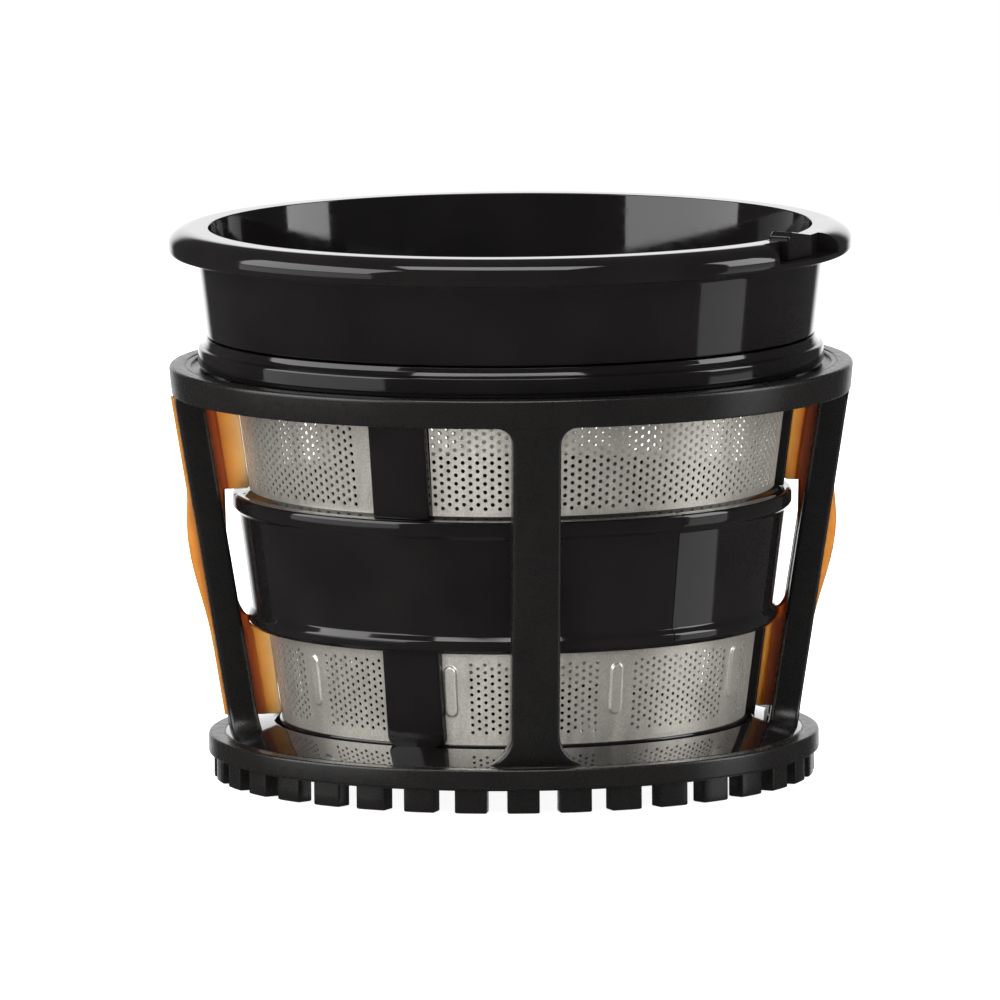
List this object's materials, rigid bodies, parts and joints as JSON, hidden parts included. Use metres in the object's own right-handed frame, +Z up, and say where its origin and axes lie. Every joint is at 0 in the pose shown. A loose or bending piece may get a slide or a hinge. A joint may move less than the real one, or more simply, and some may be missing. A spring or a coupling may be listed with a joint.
{
  "type": "juicer strainer basket in a turning brush cage",
  "caption": "Gloss-black juicer strainer with steel mesh screens, seated in a satin-black toothed brush cage with soft orange wipers.",
  "frame": {"origin": "centre of the circle of drive teeth, on the plane of their tips, which the part stands on", "axes": "+Z up along the strainer's axis, +X to the right and -Y to the front as the locating key stands at the front right"},
  "size_m": [0.1182, 0.1182, 0.0967],
  "materials": {
    "gloss_black": "moulded polycarbonate, polished black",
    "satin_black": "moulded black plastic with a fine satin texture",
    "screen_steel": "thin stainless sheet, etched with fine round holes, softly brushed",
    "orange_silicone": "translucent orange silicone, satin"
  },
  "bodies": {
    "brush_cage": {"cage_bottom_ring": "satin_black", "cage_post_front": "satin_black", "cage_post_left": "satin_black", "cage_post_rear": "satin_black", "cage_post_right": "satin_black", "cage_top_ring": "satin_black", "drive_gear": "satin_black", "wiper_left": "orange_silicone", "wiper_right": "orange_silicone"},
    "glide": {"glide_ring": "gloss_black"},
    "strainer": {"base_ring": "gloss_black", "basket_hoop": "gloss_black", "hub_sleeve": "gloss_black", "locating_key": "gloss_black", "lower_rib_front_left": "gloss_black", "lower_rib_rear": "gloss_black", "lower_rib_right": "gloss_black", "lower_screen_front": "screen_steel", "lower_screen_rear_left": "screen_steel", "lower_screen_rear_right": "screen_steel", "mid_band": "gloss_black", "press_fin_front_left": "gloss_black", "press_fin_rear": "gloss_black", "press_fin_right": "gloss_black", "pulp_outlet": "gloss_black", "strainer_collar": "gloss_black", "strainer_floor": "gloss_black", "upper_rib_front_left": "gloss_black", "upper_rib_rear": "gloss_black", "upper_rib_right": "gloss_black", "upper_screen_front": "screen_steel", "upper_screen_rear_left": "screen_steel", "upper_screen_rear_right": "screen_steel"}
  },
  "joints": [
    {"name": "strainer_lift", "type": "slide", "parent": "brush_cage", "child": "glide", "axis": [0, 0, 1], "range_m": [0, 0.07], "deforming": ["wiper_left", "wiper_right"]},
    {"name": "strainer_spin", "type": "hinge", "parent": "glide", "child": "strainer", "pos_m": [0, 0, 0.0738], "axis": [0, 0, 1], "continuous": true, "deforming": ["wiper_left", "wiper_right"]}
  ]
}
